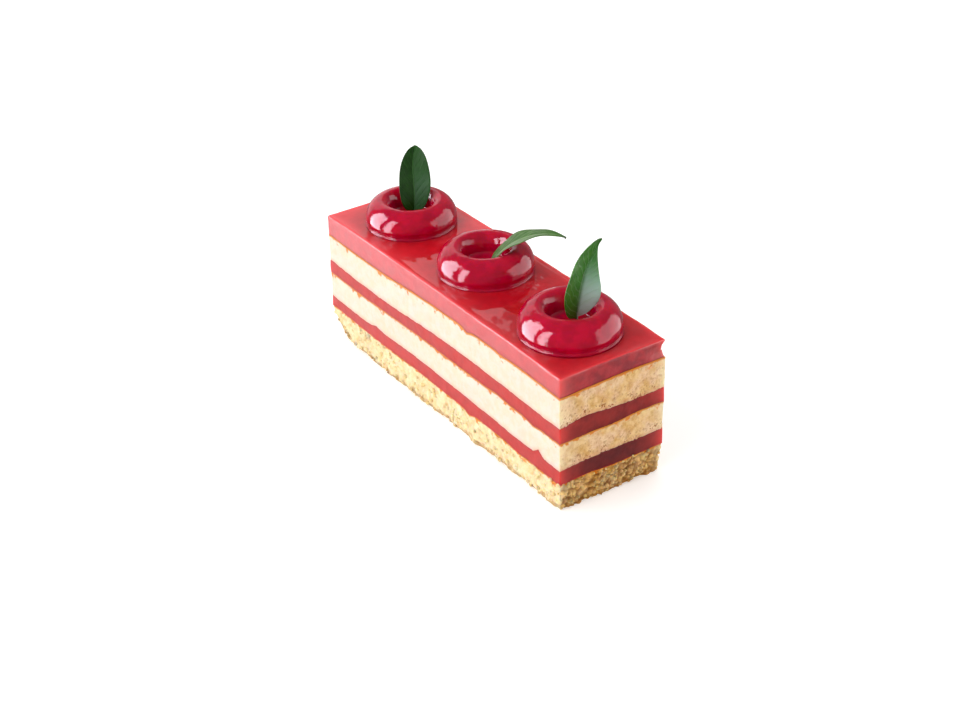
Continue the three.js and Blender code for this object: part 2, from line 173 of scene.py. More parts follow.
def spongeMaterial(name, kind):
    # kind: fine or coarse
    look = spongeFinish[kind]
    material, tree, shader = newMaterial(name)
    light, dark, shadedEndLight, shadedEndDark, hollow = [
        colour(look[key]) for key in ("light", "dark", "shadedEndLight", "shadedEndDark", "hollow")]
    grain = speckle(tree, 2.4 * mm, 0.36, 0.66, 5.0, 0.62)
    patches = speckle(tree, 6 * mm, 0.4, 0.62)
    ends = attribute(tree, "endFace")
    # painted light and shade: the long sides take a lit copy of the crumb's tone, the ends a darker, shaded
    # copy
    litSideTone = blendColours(tree, grain, light, dark)
    shadedEndTone = blendColours(tree, grain, shadedEndLight, shadedEndDark)
    tone = blendColours(tree, ends, litSideTone, shadedEndTone)
    tone = blendColours(tree, calculate(tree, "MULTIPLY", patches, look["patches"]), tone, light)
    # painted light: the ends are lighter next to their upright edges
    nearCorner = calculate(tree, "MULTIPLY", attribute(tree, "corner"), 0.75)
    tone = blendColours(tree, nearCorner, tone, colour(spongeFinish["corner"]))
    # painted shade: small pores of the crumb, drawn dark for the shade inside them, closer together low in a
    # sheet
    pores = speckle(tree, 0.75 * mm, 0.55, 0.63, 2.0, 0.5)
    scattered = speckle(tree, 3 * mm, 0.4, 0.6)
    low = spread(tree, attribute(tree, "fromFoot"), 5.0, 0.6)
    scattered = calculate(tree, "MULTIPLY", scattered, calculate(tree, "ADD", 0.25, low))
    pores = calculate(tree, "MULTIPLY", pores, scattered)
    pores = calculate(tree, "MULTIPLY", pores, calculate(tree, "MAXIMUM", ends, look["sidePores"]))
    poreShare = calculate(tree, "MULTIPLY", pores, look["pores"])
    tone = blendColours(tree, poreShare, tone, colour(spongeFinish["poreShade"]))
    # painted shade in the larger hollows, which are cut into the mesh
    hollows = calculate(tree, "MULTIPLY", attribute(tree, "pit"), look["hollows"])
    hollows = calculate(tree, "MULTIPLY", hollows, calculate(tree, "MAXIMUM", ends, look["sideHollows"]))
    tone = blendColours(tree, hollows, tone, hollow)
    # a little jelly has stained the foot of a fine sheet
    if kind == "fine":
        stained = spread(tree, attribute(tree, "fromFoot"), 1.8, 0.0)
        stained = calculate(tree, "MULTIPLY", stained, 0.4)
        tone = blendColours(tree, stained, tone, colour(spongeFinish["stain"]))
    # syrup has soaked into the top of every sheet
    reach = calculate(tree, "MULTIPLY", speckle(tree, 2.6 * mm, 0.5, 0.72, 4.0), 2.2)
    reach = calculate(tree, "ADD", reach, 0.75)
    soaked = spread(tree, calculate(tree, "DIVIDE", attribute(tree, "fromTop"), reach), 1.15, 0.4)
    soaked = calculate(tree, "MULTIPLY", soaked, 0.9)
    tone = blendColours(tree, soaked, tone, colour(spongeFinish["amber"]))
    # painted shade: the coarse sheet is darker towards its foot
    if kind == "coarse":
        wander = calculate(tree, "MULTIPLY", speckle(tree, 2.2 * mm, 0.3, 0.7), 2.2)
        rise = calculate(tree, "ADD", attribute(tree, "fromFoot"), wander)
        shadedFoot = calculate(tree, "MULTIPLY", spread(tree, rise, 3.6, 1.2), 0.6)
        tone = blendColours(tree, shadedFoot, tone, colour(spongeFinish["footShade"]))
    tree.links.new(tone, shader.inputs["Base Color"])
    crumb = speckle(tree, 0.45 * mm, 0.3, 0.7, 4.0)
    crumb = calculate(tree, "SUBTRACT", crumb, calculate(tree, "MULTIPLY", pores, 0.4))
    tree.links.new(bump(tree, crumb, 0.16 * mm, 0.8), shader.inputs["Normal"])
    shader.inputs["Roughness"].default_value = spongeFinish["roughness"]
    shader.inputs["Specular IOR Level"].default_value = spongeFinish["gloss"]
    shader.inputs["Subsurface Weight"].default_value = spongeFinish["scatter"]
    shader.inputs["Subsurface Radius"].default_value = (1.0, 0.6, 0.28)
    shader.inputs["Subsurface Scale"].default_value = spongeFinish["scatterDepth"]
    return material


jellyFinish = {
    "filling": {"light": "#a62a22", "dark": "#861a16", "roughness": 0.5, "gloss": 0.3, "scatter": 0.75},
    "top": {"light": "#c01222", "dark": "#b00e1e", "roughness": 0.46, "gloss": 0.5, "scatter": 0.8},
    "ring": {"light": "#bc0430", "dark": "#a8032c", "roughness": 0.03, "gloss": 0.5, "scatter": 0.7},
    "cutLight": "#b02830", "cutDark": "#8c1a24", "cutGlow": "#d8423c", "topGlow": "#f02430",
    "sheenTone": "#e08c8c", "deep": "#3c060a", "bubble": "#7c1420",
    "setRoughness": 0.035,      # of the top, which has set as smooth as a mirror
    "scatterDepth": 5 * mm,
}


def jellyMaterial(name, kind):
    # kind: filling, top or ring
    look = jellyFinish[kind]
    material, tree, shader = newMaterial(name)
    cloud = speckle(tree, 4 * mm, 0.35, 0.65)
    tone = blendColours(tree, cloud, colour(look["light"]), colour(look["dark"]))
    if kind == "top":
        cutTone = blendColours(tree, cloud, colour(jellyFinish["cutLight"]), colour(jellyFinish["cutDark"]))
        tone = blendColours(tree, attribute(tree, "cutFace"), tone, cutTone)
    bubbles = spots(tree, 1.5 * mm, 0.05, 0.13)
    some = speckle(tree, 5 * mm, 0.5, 0.6)
    bubbles = calculate(tree, "MULTIPLY", bubbles, some)
    tone = blendColours(tree, calculate(tree, "MULTIPLY", bubbles, 0.35), tone, colour(jellyFinish["bubble"]))
    if kind != "ring":
        # painted light and shade: deep shade in the middle of the ends, light that comes round the corners,
        # and a pale painted sheen on the cut long sides
        glowTone = colour(jellyFinish["cutGlow"])
        if kind == "top":
            # painted light on the moulded top face
            topGlow = colour(jellyFinish["topGlow"])
            glowTone = blendColours(tree, attribute(tree, "cutFace"), topGlow, glowTone)
        else:
            tone = blendColours(tree, attribute(tree, "shade"), tone, colour(jellyFinish["deep"]))
        tone = blendColours(tree, attribute(tree, "glow"), tone, glowTone)
        tone = blendColours(tree, attribute(tree, "paintedSheen"), tone, colour(jellyFinish["sheenTone"]))
    tree.links.new(tone, shader.inputs["Base Color"])
    waves = speckle(tree, 1.7 * mm, 0.3, 0.7, 2.0)
    surface = calculate(tree, "SUBTRACT", waves, bubbles)
    if kind == "top":
        # the moulded top is smooth and the cut sides are satin
        cut = attribute(tree, "cutFace")
        smoothest = jellyFinish["setRoughness"]
        rough = calculate(tree, "MULTIPLY", cut, look["roughness"] - smoothest)
        tree.links.new(calculate(tree, "ADD", rough, smoothest), shader.inputs["Roughness"])
        surface = calculate(tree, "MULTIPLY", surface, cut)
    else:
        shader.inputs["Roughness"].default_value = look["roughness"]
    tree.links.new(bump(tree, surface, 0.05 * mm, 0.6), shader.inputs["Normal"])
    shader.inputs["IOR"].default_value = 1.45
    shader.inputs["Specular IOR Level"].default_value = look["gloss"]
    shader.inputs["Subsurface Weight"].default_value = look["scatter"]
    shader.inputs["Subsurface Radius"].default_value = (1.0, 0.1, 0.12)
    shader.inputs["Subsurface Scale"].default_value = jellyFinish["scatterDepth"]
    return material


def leafMaterial(name, look):
    # the UV map runs across the blade and up the midrib
    material, tree, shader = newMaterial(name)
    uvMap = tree.nodes.new("ShaderNodeUVMap")
    split = tree.nodes.new("ShaderNodeSeparateXYZ")
    tree.links.new(uvMap.outputs["UV"], split.inputs["Vector"])
    across = calculate(tree, "SUBTRACT", split.outputs["X"], 0.5)
    fromMidrib = calculate(tree, "ABSOLUTE", across, 0.0)
    along = split.outputs["Y"]
    # side veins leave the midrib at a slant and curve up the blade
    bend = calculate(tree, "MULTIPLY", fromMidrib, look["slant"])
    waver = calculate(tree, "MULTIPLY", speckle(tree, 5 * mm, 0.3, 0.7), 0.05)
    veinPlace = calculate(tree, "SUBTRACT", along, calculate(tree, "ADD", bend, waver))
    wave = calculate(tree, "SINE", calculate(tree, "MULTIPLY", veinPlace, look["veins"] * 2 * math.pi), 0.0)
    veins = spread(tree, wave, 0.82, 1.0)
    midrib = spread(tree, fromMidrib, look["ribWidth"], look["ribWidth"] * 0.3)
    # painted light and shade: the right half of the blade is lighter and the left half darker, by how the
    # folded halves face the light
    half = spread(tree, across, -0.02, 0.02)
    blade = blendColours(tree, half, colour(look["shadedLeftTone"]), colour(look["litRightTone"]))
    mottle = speckle(tree, 2.4 * mm, 0.35, 0.7)
    blade = blendColours(tree, calculate(tree, "MULTIPLY", mottle, 0.35), blade, colour(look["mottle"]))
    # painted sheen: a pale reflection low on the right half of the blade
    sheen = calculate(tree, "MULTIPLY", spread(tree, along, 0.75, 0.2), spread(tree, across, 0.0, 0.12))
    sheen = calculate(tree, "MULTIPLY", sheen, look["sheenShare"])
    blade = blendColours(tree, sheen, blade, colour(look["sheen"]))
    veinLines = calculate(tree, "MULTIPLY", veins, look["veinShare"])
    blade = blendColours(tree, veinLines, blade, colour(look["vein"]))
    blade = blendColours(tree, calculate(tree, "MULTIPLY", midrib, 0.6), blade, colour(look["vein"]))
    tip = spread(tree, along, 0.86, 1.0)
    blade = blendColours(tree, calculate(tree, "MULTIPLY", tip, 0.5), blade, colour(look["tip"]))
    tree.links.new(blade, shader.inputs["Base Color"])
    height = calculate(tree, "ADD", veins, midrib)
    tree.links.new(bump(tree, height, 0.12 * mm, 0.7), shader.inputs["Normal"])
    shader.inputs["Roughness"].default_value = look["roughness"]
    shader.inputs["Specular IOR Level"].default_value = look["gloss"]
    shader.inputs["Subsurface Weight"].default_value = 0.2
    shader.inputs["Subsurface Radius"].default_value = (0.4, 1.0, 0.2)
    shader.inputs["Subsurface Scale"].default_value = 0.5 * mm
    return material


# ---- the layers of the loaf

# cuts: how finely the walls are divided; grain, lumps, pores, gaps and waviness: mm of relief
layerLook = {
    "sponge_lower": {"cuts": 5, "grain": 0.2, "lumps": 0.5, "pores": 0.9, "poreSize": 1.8, "poreShare": 0.5,
                     "gaps": 0.75},
    "sponge_middle": {"cuts": 7, "grain": 0.06, "lumps": 0.06, "pores": 0.4, "poreSize": 1.1,
                      "poreShare": 0.3},
    "sponge_upper": {"cuts": 7, "grain": 0.06, "lumps": 0.06, "pores": 0.4, "poreSize": 1.1,
                     "poreShare": 0.3},
    "jelly_lower": {"cuts": 5, "waviness": 0.08, "shade": 0.7},
    "jelly_middle": {"cuts": 5, "waviness": 0.08, "shade": 0.25},
}
bondDepth = 0.2 * mm      # how far each layer reaches into the next, where they have set together
halfLength = 70.3 * mm
halfWidth = 20.35 * mm


def refinedCopy(nodeName, cuts):
    # the solid's own mesh, its walls divided finely
    bm = bmesh.new()
    bm.from_mesh(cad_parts[nodeName].data)
    bmesh.ops.remove_doubles(bm, verts=bm.verts, dist=0.001 * mm)
    edges = [e for e in bm.edges if any(abs(f.normal.z) < 0.6 for f in e.link_faces)]
    bmesh.ops.subdivide_edges(bm, edges=edges, cuts=cuts, use_grid_fill=True)
    bmesh.ops.triangulate(bm, faces=[f for f in bm.faces if len(f.verts) > 3])
    bm.normal_update()
    return bm


def rimTrees(bm):
    # the upper and the lower rim of a layer's walls, to look up the height of a cut beside a point
    trees = []
    middle = sum(vertex.co.z for vertex in bm.verts) / len(bm.verts)
    for facesUp in (True, False):
        rim = set()
        for edge in bm.edges:
            normals = [face.normal.z for face in edge.link_faces]
            wall = any(abs(z) < 0.6 for z in normals)
            cap = any(z > 0.6 if facesUp else z < -0.6 for z in normals)
            if wall and cap:
                rim.update(vertex for vertex in edge.verts if (vertex.co.z > middle) == facesUp)
        tree = kdtree.KDTree(len(rim))
        heights = []
        for vertex in sorted(rim, key=lambda v: v.index):
            tree.insert((vertex.co.x, vertex.co.y, 0), len(heights))
            heights.append(vertex.co.z)
        tree.balance()
        trees.append((tree, heights))
    return trees


def cutHeight(rim, co):
    tree, heights = rim
    return heights[tree.find((co.x, co.y, 0))[1]]


def outward(co):
    # the level direction out of the loaf, and how far a point counts as being on an end
    endShare = ease(-0.6 * mm, 0.6 * mm, (abs(co.x) - halfLength) - (abs(co.y) - halfWidth))
    end = Vector((math.copysign(1, co.x), 0, 0))
    side = Vector((0, math.copysign(1, co.y), 0))
    return (end * endShare + side * (1 - endShare)).normalized(), endShare


def cornerGlow(co, endShare):
    # painted light: the long sides are lighter all over, and the ends lighter near their upright edges, where
    # jelly lets light through
    fromCorner = max(0.0, halfWidth - abs(co.y))
    return 0.55 * (1 - endShare) + endShare * (0.85 * math.exp(-fromCorner / (3.2 * mm)))


def bondLayer(bm, upper, lower, growFoot=True):
    for vertex in bm.verts:
        top = cutHeight(upper, vertex.co)
        foot = cutHeight(lower, vertex.co)
        share = min(1.0, max(0.0, (vertex.co.z - foot) / (top - foot)))
        vertex.co.z += bondDepth * share
        if growFoot:
            vertex.co.z -= bondDepth * (1 - share)


def poreAt(co, size, share):
    # depth of a pore from 0 to 1: scattered hollows of different widths
    distances, centres = noise.voronoi(co / size)
    chance = 0.5 + 0.5 * noise.cell(centres[0] * 5.37)
    if chance > share:
        return 0.0
    reach = 0.3 + 0.3 * (0.5 + 0.5 * noise.cell(centres[0] * 3.11 + Vector((9, 4, 2))))
    return max(0.0, 1 - distances[0] / reach)


def gapAt(co, size):
    # 1 in the gaps between the lumps of a coarse crumb, 0 on the lumps
    bent = co + 0.35 * size * noise.noise_vector(co / size)
    distances = noise.voronoi(bent / size)[0]
    return ease(0.28, 0.02, distances[1] - distances[0])


def makeSponge(nodeName, material):
    look = layerLook[nodeName]
    bm = refinedCopy(nodeName, look["cuts"])
    upper, lower = rimTrees(bm)
    fromTop = bm.verts.layers.float.new("fromTop")
    fromFoot = bm.verts.layers.float.new("fromFoot")
    endFace = bm.verts.layers.float.new("endFace")
    corner = bm.verts.layers.float.new("corner")
    pit = bm.verts.layers.float.new("pit")
    coarse = nodeName == "sponge_lower"
    moves = []
    for vertex in bm.verts:
        co = vertex.co.copy()
        top = cutHeight(upper, co)
        foot = cutHeight(lower, co)
        direction, endShare = outward(co)
        vertex[fromTop] = (top - co.z) / mm
        vertex[fromFoot] = (co.z - foot) / mm
        fromCorner = max(0.0, halfWidth - abs(co.y))
        # painted light and shade on the ends: they take the shaded end tone, a little less of it next to the
        # upright edges, where painted light fades in
        vertex[endFace] = endShare * (1 - 0.3 * math.exp(-fromCorner / (2.2 * mm)))
        vertex[corner] = endShare * math.exp(-fromCorner / (2.4 * mm))
        onWall = abs(abs(co.x) - halfLength) < 3.5 * mm or abs(abs(co.y) - halfWidth) < 3.5 * mm
        if not onWall:
            continue
        roughness = 0.45 + 0.55 * endShare if coarse else 0.35 + 0.65 * endShare
        grain = noise.fractal(co / (0.9 * mm), 0.8, 2.0, 3) * look["grain"] * roughness
        lumps = noise.noise(co / (2.4 * mm)) * look["lumps"]
        low = ease(0.75, 0.2, (co.z - foot) / (top - foot))
        share = look["poreShare"] * (0.35 + 0.65 * low) * (1.0 if coarse else 0.12 + 0.88 * endShare)
        hollow = poreAt(co, look["poreSize"] * mm, share)
        small = poreAt(co + Vector((0.031, 0.017, 0.023)), look["poreSize"] * 0.55 * mm, share * 1.2)
        depth = (hollow + 0.5 * small) * look["pores"] * roughness
        gap = 0.0
        if coarse:
            gap = gapAt(co, 3 * mm) * (0.65 + 0.5 * noise.noise(co / (4 * mm)))
            depth += gap * look["gaps"] * roughness
            lumps -= 0.25 * ease(3.5 * mm, 0, co.z) * (1 + noise.noise(co / (1.3 * mm)))
        vertex[pit] = min(1.0, max(hollow, small, gap) * 1.2)
        moves.append((vertex, direction * (grain + lumps - depth) * mm))
    for vertex, move in moves:
        vertex.co += move
    bondLayer(bm, upper, lower, growFoot=not coarse)
    if coarse:
        for vertex in bm.verts:
            vertex.co.z = max(0.0, vertex.co.z)
    return finishPiece(nodeName.replace("sponge", "crumb_sheet"), bm, material, [nodeName])


def makeJelly(nodeName, material):
    look = layerLook[nodeName]
    bm = refinedCopy(nodeName, look["cuts"])
    upper, lower = rimTrees(bm)
    cutFace = bm.verts.layers.float.new("cutFace")
    paintedSheen = bm.verts.layers.float.new("paintedSheen")
    glow = bm.verts.layers.float.new("glow")
    shade = bm.verts.layers.float.new("shade")
    for vertex in bm.verts:
        direction, endShare = outward(vertex.co)
        fromCorner = max(0.0, halfWidth - abs(vertex.co.y))
        # painted shade: the middle of each end is darker, away from its upright edges
        vertex[shade] = look["shade"] * endShare * (1 - math.exp(-fromCorner / (5 * mm)))
        wave = noise.noise(vertex.co / (3.5 * mm)) + 0.4 * noise.noise(vertex.co / (1.1 * mm))
        vertex.co += direction * wave * look["waviness"] * mm
        vertex[cutFace] = 1.0
        # painted sheen and painted light: paler on the long sides and near the upright edges of the ends
        vertex[paintedSheen] = 0.05 * (1 - endShare) + 0.08 * endShare * cornerGlow(vertex.co, endShare)
        vertex[glow] = cornerGlow(vertex.co, endShare)
    bondLayer(bm, upper, lower)
    return finishPiece(nodeName.replace("jelly", "jelly_sheet"), bm, material, [nodeName])


topLook = {
    "voxel": 0.42 * mm,
    "level": 49.5 * mm,     # height of the set surface
    "ripple": 0.035,        # mm, of the set surface
    "edgeRise": 0.12,       # mm, where the jelly climbs towards its edge
    "waviness": 0.09,       # mm, of the cut sides
    "endGlow": 0.45, "edgeGlow": 0.4,       # painted light: the top is lighter at its left end, where the windows light it, and along its edges
    "sideSheen": 0.26, "endSheen": 0.3, "edgeSheen": 0.16, "arrisSheen": 1.2,       # painted sheen of the windows' light
    "puckerPlace": (17 * mm, 8 * mm), "puckerReach": 10 * mm, "pucker": 0.11,
    "ringPlaces": [(-46.3, 0.8), (-0.6, 1.4), (48.8, -0.4)],      # mm; painted shadow: the jelly is left darker round the rings, where the painted light of the left end is held back
}


def fittedTop(nodeName):
    # a smooth surface through the solid's upper corners
    lowest = topLook["level"] - 1.3 * mm
    points = [v.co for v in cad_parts[nodeName].data.vertices if v.co.z > lowest]
    places = np.array([(p.x / halfLength, p.y / halfWidth, p.z) for p in points])
    powers = [(i, j) for i in range(7) for j in range(2)]
    terms = np.stack([places[:, 0] ** i * places[:, 1] ** j for i, j in powers], axis=1)
    factors = np.linalg.lstsq(terms, places[:, 2], rcond=None)[0]

    def level(x, y):
        along, across = x / halfLength, y / halfWidth
        return sum(f * along ** i * across ** j for f, (i, j) in zip(factors, powers))

    return level


def makeTopJelly(material):
    nodeName = "jelly_top"
    fine = refinedCopy(nodeName, 4)
    lower = rimTrees(fine)[1]
    rough = bpy.data.meshes.new("topJellyRough")
    fine.to_mesh(rough)
    fine.free()
    holder = bpy.data.objects.new("topJellyRough", rough)
    bpy.context.scene.collection.objects.link(holder)
    remesh = holder.modifiers.new("even", "REMESH")
    remesh.mode = "VOXEL"
    remesh.voxel_size = topLook["voxel"]
    bpy.context.view_layer.update()
    even = holder.evaluated_get(bpy.context.evaluated_depsgraph_get()).to_mesh()
    bm = bmesh.new()
    bm.from_mesh(even)
    bpy.data.objects.remove(holder)
    bpy.data.meshes.remove(rough)
    bmesh.ops.smooth_vert(bm, verts=bm.verts, factor=0.5, use_axis_x=True, use_axis_y=True, use_axis_z=True)
    surface = fittedTop(nodeName)
    cutFace = bm.verts.layers.float.new("cutFace")
    paintedSheen = bm.verts.layers.float.new("paintedSheen")
    glow = bm.verts.layers.float.new("glow")
    bm.normal_update()
    for vertex in bm.verts:
        co = vertex.co
        edge = min(halfLength - abs(co.x), halfWidth - abs(co.y))
        above = ease(0.2, 0.75, vertex.normal.z)
        vertex[cutFace] = 1 - ease(0.35, 0.8, vertex.normal.z)
        cut = vertex[cutFace]
        nearEdge = math.exp(-max(0.0, edge) / (4 * mm))
        fromRing = min(math.hypot(co.x / mm - x, co.y / mm - y) for x, y in topLook["ringPlaces"])
        # painted light: lighter towards the left end except round the rings, which are left darker as painted
        # shadow, and lighter along the edges
        bright = topLook["endGlow"] * ease(25 * mm, -55 * mm, co.x) * ease(16, 25, fromRing)
        bright += topLook["edgeGlow"] * nearEdge
        vertex[glow] = cornerGlow(co, outward(co)[1]) * cut + bright * (1 - cut)
        # painted sheen: paler on the cut long sides, on the ends near their upright edges, along the top's
        # edges and on the arris
        pale = topLook["sideSheen"] * ease(0.5, 0.9, abs(vertex.normal.y))
        pale += topLook["endSheen"] * ease(0.4, 0.9, abs(vertex.normal.x)) * cornerGlow(co, 1.0)
        pale += topLook["edgeSheen"] * nearEdge * (1 - cut) + topLook["arrisSheen"] * cut * (1 - cut)
        vertex[paintedSheen] = pale
        if vertex.normal.z > 0.3:
            ripple = noise.noise(Vector((co.x, co.y, 0)) / (5 * mm)) * topLook["ripple"]
            ripple += noise.noise(Vector((co.x, co.y, 4 * mm)) / (2.2 * mm)) * topLook["ripple"] * 0.4
            rise = topLook["edgeRise"] * ease(2.5 * mm, 0.4 * mm, edge)
            away = (Vector((co.x, co.y)) - Vector(topLook["puckerPlace"])).length / topLook["puckerReach"]
            if away < 1:
                pucker = noise.noise(Vector((co.x, co.y * 2.2, 0)) / (2.4 * mm))
                ripple += pucker * topLook["pucker"] * (1 - away)
            level = surface(co.x, co.y) + (ripple + rise) * mm
            inner = ease(0.5 * mm, 1.4 * mm, edge) * above
            co.z += (level - co.z) * inner
        elif abs(vertex.normal.z) < 0.6:
            direction, endShare = outward(co)
            wave = noise.noise(co / (3.5 * mm)) + 0.4 * noise.noise(co / (1.2 * mm))
            vertex.co += direction * wave * topLook["waviness"] * mm
        foot = cutHeight(lower, co)
        share = min(1.0, max(0.0, (co.z - foot) / (topLook["level"] - foot)))
        co.z -= bondDepth * (1 - share) ** 2
    return finishPiece("jelly_sheet_top", bm, material, [nodeName])


crumbLook = {
    "low": 0.3, "high": 10.6,       # mm above the floor
    "size": (0.4, 0.9),             # mm, half the width of a crumb
    "count": 700, "batch": 50,
    "endShare": 0.3,                # of the crumbs are on the two ends
}


def makeCrumbs(sheet, material):
    # small crumbs that the knife has pulled out, each half sunk in the coarse sheet
    look = crumbLook
    surface = BVHTree.FromPolygons([v.co for v in sheet.data.vertices],
                                   [p.vertices for p in sheet.data.polygons])
    pile = bpy.data.meshes.new("crumbPile")
    for _ in range(look["count"] // look["batch"]):
        bm = bmesh.new()
        layers = [bm.verts.layers.float.new(key) for key in ("fromTop", "fromFoot", "endFace", "pit")]
        for _ in range(look["batch"]):
            onEnd = random.random() < look["endShare"]
            side = random.choice((-1, 1))
            height = look["low"] + (look["high"] - look["low"]) * random.random() ** 1.3
            if onEnd:
                start = Vector((side * 80, random.uniform(-20, 20), height)) * mm
                inward = Vector((-side, 0, 0))
            else:
                start = Vector((random.uniform(-70, 70), side * 30, height)) * mm
                inward = Vector((0, -side, 0))
            spot = surface.ray_cast(start, inward)[0]
            if spot is None:
                continue
            size = random.uniform(*look["size"]) * mm
            turn = Euler([random.uniform(0, 6.3) for _ in range(3)]).to_matrix().to_4x4()
            squash = Matrix.Diagonal([size * random.uniform(0.7, 1.25) for _ in range(3)] + [1])
            middle = spot - inward * size * random.uniform(-0.35, 0.3)
            middle.z = max(middle.z, size * 1.3)
            made = bmesh.ops.create_icosphere(bm, subdivisions=1, radius=1.0,
                                              matrix=Matrix.Translation(middle) @ turn @ squash)
            for vertex in made["verts"]:
                # crumbs on the ends take the painted shade of the end faces
                for layer, value in zip(layers, (6.0, middle.z / mm, 0.8 if onEnd else 0.1, 0.0)):
                    vertex[layer] = value
        bm.from_mesh(pile)
        bm.to_mesh(pile)
        bm.free()
    bm = bmesh.new()
    bm.from_mesh(pile)
    bpy.data.meshes.remove(pile)
    return finishPiece("pulled_crumbs", bm, material)


spongeFine = spongeMaterial("spongeCrumb", "fine")
spongeCoarse = spongeMaterial("spongeCoarseCrumb", "coarse")
filling = jellyMaterial("jellyFilling", "filling")

coarseSheet = makeSponge("sponge_lower", spongeCoarse)
makeSponge("sponge_middle", spongeFine)
makeSponge("sponge_upper", spongeFine)
makeCrumbs(coarseSheet, spongeCoarse)
makeJelly("jelly_lower", filling)
makeJelly("jelly_middle", filling)
makeTopJelly(jellyMaterial("jellyTop", "top"))


# ---- the glazed rings

ringLook = {
    "foot": 16.0, "bulge": (16.3, 1.7), "crown": (10.5, 8.5), "waist": (6.8, 2.8), "floor": (2.6, 1.75),
    "seat": 50.0, "sunk": 0.9, "sides": 144, "unevenness": 0.1,
    "flare": 0.28,          # glaze that has run down to the foot
    # x, y and scale of each
    "places": {"left": (-46.325, 0.787, 0.985), "middle": (-0.625, 1.387, 1.0),
               "right": (48.775, -0.413, 1.02)},
}


def quarterTurn(start, end, steps, steep):
    points = []
    for step in range(1, steps + 1):
        angle = step / steps * math.pi / 2
        out = 1 - math.cos(angle) if steep else math.sin(angle)
        up = math.sin(angle) if steep else 1 - math.cos(angle)
        points.append((start[0] + (end[0] - start[0]) * out, start[1] + (end[1] - start[1]) * up))
    return points


def makeRing(name, material):
    look = ringLook
    x, y, size = look["places"][name]
    flare = look["flare"]
    section = [(0, -look["sunk"]), (look["foot"] + flare + 0.15, -look["sunk"])]
    for step in range(9):        # the flare of glaze round the foot
        angle = math.radians(265 - 80 * step / 8)
        section.append((look["foot"] + flare + 0.05 + flare * math.cos(angle), 0.3 + flare * math.sin(angle)))
    section += quarterTurn(section[-1], look["bulge"], 3, True)
    section += quarterTurn(look["bulge"], look["crown"], 20, True)
    section += quarterTurn(look["crown"], look["waist"], 18, False)
    section += quarterTurn(look["waist"], look["floor"], 10, True)
    section.append((0, look["floor"][1]))
    bm = bmesh.new()
    points = [bm.verts.new((radius * mm * size, 0, height * mm * size)) for radius, height in section]
    edges = [bm.edges.new(pair) for pair in zip(points, points[1:])]
    bmesh.ops.spin(bm, geom=points + edges, cent=(0, 0, 0), axis=(0, 0, 1), angle=2 * math.pi,
                   steps=look["sides"], use_merge=True)
    bmesh.ops.remove_doubles(bm, verts=bm.verts, dist=0.01 * mm)
    bmesh.ops.recalc_face_normals(bm, faces=bm.faces)
    bm.normal_update()
    for vertex in bm.verts:
        spot = vertex.co / mm + Vector((x, y, 0))
        swell = noise.noise(spot / 9) + 0.35 * noise.noise(spot / 3.5)
        high = ease(0.2, 1.5, vertex.co.z / mm)
        vertex.co += vertex.normal * swell * look["unevenness"] * mm * high
    bmesh.ops.translate(bm, verts=bm.verts, vec=Vector((x, y, look["seat"])) * mm)
    return finishPiece("glazed_ring_" + name, bm, material, ["ring_" + name])


ringGlaze = jellyMaterial("ringGlaze", "ring")
for ringName in ringLook["places"]:
    makeRing(ringName, ringGlaze)


# ---- the leaves

leafLook = {
    "thickness": 0.36, "stalkShare": 0.06, "stalkHalfWidth": 0.5, "tipShare": 0.3,
    "rows": 72, "columns": 28, "crowding": 1.15, "ripplePhase": 1.9,
    "ribDepth": 0.28, "ribReach": 0.45, "veinDepth": 0.07,
    "left": {
        "rib": [(-1.3, 1.1, 0.6), (-0.87, 3.48, 9.05), (-6.71, 3.76, 15.94), (-12.31, 10.12, 21.23)],
        "across": (0.407, 0.914, 0), "leftMargin": (5.75, 0.4, 0.66), "rightMargin": (6.4, 0.5, 0.52),
        "fold": 0.4, "ripple": 0.3, "waves": 2.2,
        "shadedLeftTone": "#0c3400", "litRightTone": "#104002", "mottle": "#1c4e0a", "vein": "#4a7a40",
        "tip": "#144a04", "sheen": "#3a6644", "sheenShare": 0.3, "veinShare": 0.12,
        "veins": 9, "slant": 0.5, "ribWidth": 0.03, "roughness": 0.52, "gloss": 0.16,
    },
    "middle": {
        "rib": [(2.3, -0.8, 0.9), (4.6, 2.3, 10.2), (13.4, 10.6, 17.6), (20.6, 18.1, 14.2)],
        "across": (0.83, -0.54, 0.14), "leftMargin": (4.9, 0.7, 1), "rightMargin": (5.0, 0.7, 1),
        "fold": 0.16, "ripple": 0.3, "waves": 2.6,
        "shadedLeftTone": "#35641a", "litRightTone": "#3f6e24", "mottle": "#6a9450", "vein": "#a0ba88",
        "tip": "#2b3f22", "sheen": "#7d9c70", "sheenShare": 0.4, "veinShare": 0.15,
        "veins": 11, "slant": 0.5, "ribWidth": 0.05, "roughness": 0.38, "gloss": 0.38,
    },
    "right": {
        "rib": [(-1.2, 3.4, 0.7), (0.1, 2.2, 12.44), (-0.1, 5.42, 21.28), (0.96, 11.04, 28.41)],
        "across": (0.29, 0.957, 0), "leftMargin": (6.5, 0.35, 0.6), "rightMargin": (6.6, 0.75, 1.65),
        "fold": 0.47, "ripple": 0.35, "waves": 2.4,
        "shadedLeftTone": "#2a6a08", "litRightTone": "#38782c", "mottle": "#528c38", "vein": "#8cae8c",
        "tip": "#2c5216", "sheen": "#b0ccc6", "sheenShare": 0.85, "veinShare": 0.25,
        "veins": 12, "slant": 0.42, "ribWidth": 0.035, "roughness": 0.34, "gloss": 0.38,
    },
}


def ribPoint(rib, share):
    a, b, c, d = (Vector(p) for p in rib)
    rest = 1 - share
    return a * rest ** 3 + b * 3 * rest ** 2 * share + c * 3 * rest * share ** 2 + d * share ** 3


